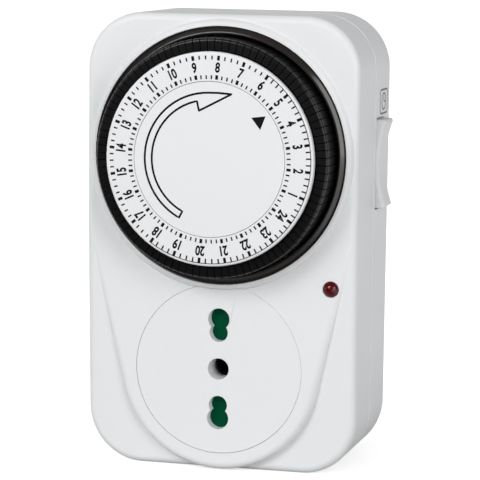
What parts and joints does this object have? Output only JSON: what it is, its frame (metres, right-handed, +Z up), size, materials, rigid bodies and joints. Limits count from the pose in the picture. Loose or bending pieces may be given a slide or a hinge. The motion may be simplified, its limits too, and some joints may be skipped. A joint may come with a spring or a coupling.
{
  "type": "plug-in timer switch",
  "caption": "White plug-in 24-hour timer with a round segment dial, a shuttered round-pin outlet, a red lamp and a side rocker.",
  "frame": {"origin": "on the flat face that it stands on (mount bottom_face), under the middle of the housing's width and half-way between the front of the dial and the tips of the plug pins", "axes": "+Z up, +X to the right seen from the front, front faces -Y, plug pins point to +Y"},
  "size_m": [0.0745, 0.0682, 0.118],
  "materials": {
    "white_housing": "satin white moulding",
    "white_dial": "printed satin white",
    "black_plastic": "black moulding",
    "smoky_plastic": "glossy smoky black",
    "green_plastic": "dark green",
    "red_lens": "clear dark red",
    "grey_plastic": "natural grey moulding",
    "natural_plastic": "natural nylon",
    "brass": "bright brass",
    "steel": "zinc-plated steel",
    "copper": "enamelled copper wire",
    "magnet": "sintered magnet",
    "glass": "clear glass",
    "board": "phenolic board"
  },
  "bodies": {
    "housing": {"front_shell": "white_housing", "rear_shell": "white_housing", "housing_screws": "steel", "dial_bezel": "smoky_plastic", "centre_cap": "white_dial", "dial_arbor": "steel", "gear_plate": "grey_plastic", "plate_screws": "steel", "gear_pin": "steel", "gearbox_case": "grey_plastic", "motor_can": "steel", "coil_bobbin": "natural_plastic", "coil_winding": "copper", "stator_poles": "steel", "socket_insert": "white_housing", "shutter_spring": "steel", "socket_block": "grey_plastic", "phase_contact": "brass", "neutral_contact": "brass", "earth_contact": "brass", "supply_strap": "brass", "insulating_sheet": "natural_plastic", "pin_carrier": "grey_plastic", "neutral_pin": "brass", "earth_pin": "brass", "phase_pin": "brass", "pin_sleeves": "black_plastic", "indicator_lens": "red_lens", "neon_lamp": "glass", "lamp_board": "board", "lamp_resistor": "natural_plastic", "rocker_base": "grey_plastic", "rocker_terminals": "brass", "switch_base": "grey_plastic", "lever_pin": "steel", "leaf_terminal": "brass", "fixed_contact": "brass"},
    "dial": {"dial_wheel": "black_plastic", "numeral_disc": "white_dial"},
    "segments_00_02h": {"segments_00_02h": "black_plastic"},
    "segments_02_04h": {"segments_02_04h": "black_plastic"},
    "segments_04_06h": {"segments_04_06h": "black_plastic"},
    "segments_06_08h": {"segments_06_08h": "black_plastic"},
    "segments_08_10h": {"segments_08_10h": "black_plastic"},
    "segments_10_12h": {"segments_10_12h": "black_plastic"},
    "segments_12_14h": {"segments_12_14h": "black_plastic"},
    "segments_14_16h": {"segments_14_16h": "black_plastic"},
    "segments_16_18h": {"segments_16_18h": "black_plastic"},
    "segments_18_20h": {"segments_18_20h": "black_plastic"},
    "segments_20_22h": {"segments_20_22h": "black_plastic"},
    "segments_22_24h": {"segments_22_24h": "black_plastic"},
    "reduction_gear": {"reduction_gear": "natural_plastic"},
    "motor_output": {"motor_output": "steel"},
    "rotor": {"rotor": "magnet"},
    "shutter": {"shutter": "green_plastic"},
    "override_rocker": {"override_rocker": "white_housing", "rocker_plunger": "steel"},
    "contact_seesaw": {"contact_seesaw": "brass"},
    "follower_lever": {"follower_lever": "natural_plastic"},
    "moving_leaf": {"moving_leaf": "brass"}
  },
  "joints": [
    {"name": "dial_spin", "type": "hinge", "parent": "housing", "child": "dial", "pos_m": [0, -0.0229, 0.082], "axis": [0, 1, 0], "continuous": true},
    {"name": "press_00_02h", "type": "slide", "parent": "dial", "child": "segments_00_02h", "axis": [0, 1, 0], "range_m": [0, 0.003]},
    {"name": "press_02_04h", "type": "slide", "parent": "dial", "child": "segments_02_04h", "axis": [0, 1, 0], "range_m": [0, 0.003]},
    {"name": "press_04_06h", "type": "slide", "parent": "dial", "child": "segments_04_06h", "axis": [0, 1, 0], "range_m": [0, 0.003]},
    {"name": "press_06_08h", "type": "slide", "parent": "dial", "child": "segments_06_08h", "axis": [0, 1, 0], "range_m": [0, 0.003]},
    {"name": "press_08_10h", "type": "slide", "parent": "dial", "child": "segments_08_10h", "axis": [0, 1, 0], "range_m": [0, 0.003]},
    {"name": "press_10_12h", "type": "slide", "parent": "dial", "child": "segments_10_12h", "axis": [0, 1, 0], "range_m": [0, 0.003]},
    {"name": "press_12_14h", "type": "slide", "parent": "dial", "child": "segments_12_14h", "axis": [0, 1, 0], "range_m": [0, 0.003]},
    {"name": "press_14_16h", "type": "slide", "parent": "dial", "child": "segments_14_16h", "axis": [0, 1, 0], "range_m": [0, 0.003]},
    {"name": "press_16_18h", "type": "slide", "parent": "dial", "child": "segments_16_18h", "axis": [0, 1, 0], "range_m": [0, 0.003]},
    {"name": "press_18_20h", "type": "slide", "parent": "dial", "child": "segments_18_20h", "axis": [0, 1, 0], "range_m": [0, 0.003]},
    {"name": "press_20_22h", "type": "slide", "parent": "dial", "child": "segments_20_22h", "axis": [0, 1, 0], "range_m": [0, 0.003]},
    {"name": "press_22_24h", "type": "slide", "parent": "dial", "child": "segments_22_24h", "axis": [0, 1, 0], "range_m": [0, 0.003]},
    {"name": "reduction_spin", "type": "hinge", "parent": "housing", "child": "reduction_gear", "pos_m": [-0.01819, -0.0104, 0.0925], "axis": [0, 1, 0], "continuous": true},
    {"name": "output_spin", "type": "hinge", "parent": "housing", "child": "motor_output", "pos_m": [-0.01119, -0.0104, 0.08038], "axis": [0, 1, 0], "continuous": true},
    {"name": "rotor_spin", "type": "hinge", "parent": "housing", "child": "rotor", "pos_m": [-0.00396, -0.0014, 0.087], "axis": [0, 1, 0], "continuous": true},
    {"name": "shutter_turn", "type": "hinge", "parent": "housing", "child": "shutter", "pos_m": [0, -0.0198, 0.0267], "axis": [0, 1, 0], "range_deg": [0, 36], "stiffness_Nm_per_rad": 0.004, "springref_deg": -20.05},
    {"name": "rocker_tilt", "type": "hinge", "parent": "housing", "child": "override_rocker", "pos_m": [0.032, -0.0014, 0.0793], "axis": [0, 1, 0], "range_deg": [-6, 6]},
    {"name": "seesaw_tilt", "type": "hinge", "parent": "housing", "child": "contact_seesaw", "pos_m": [0.0262, 0.00295, 0.0793], "axis": [0, 1, 0], "range_deg": [-3.6, 3.6]},
    {"name": "lever_swing", "type": "hinge", "parent": "housing", "child": "follower_lever", "pos_m": [0.0286, -0.0102, 0.062], "axis": [-1, 0, 0], "range_deg": [0, 6.92]},
    {"name": "leaf_flex", "type": "hinge", "parent": "housing", "child": "moving_leaf", "pos_m": [0.0286, -0.008, 0.058], "axis": [-1, 0, 0], "range_deg": [0, 4.96]}
  ],
  "couplings": [
    {"joint": "reduction_spin", "follows": "dial_spin", "ratio": -6},
    {"joint": "output_spin", "follows": "dial_spin", "ratio": 36},
    {"joint": "seesaw_tilt", "follows": "rocker_tilt", "ratio": -0.6},
    {"joint": "lever_swing", "follows": "press_02_04h", "rad_per_m": 40},
    {"joint": "leaf_flex", "follows": "press_02_04h", "rad_per_m": 28.571}
  ]
}
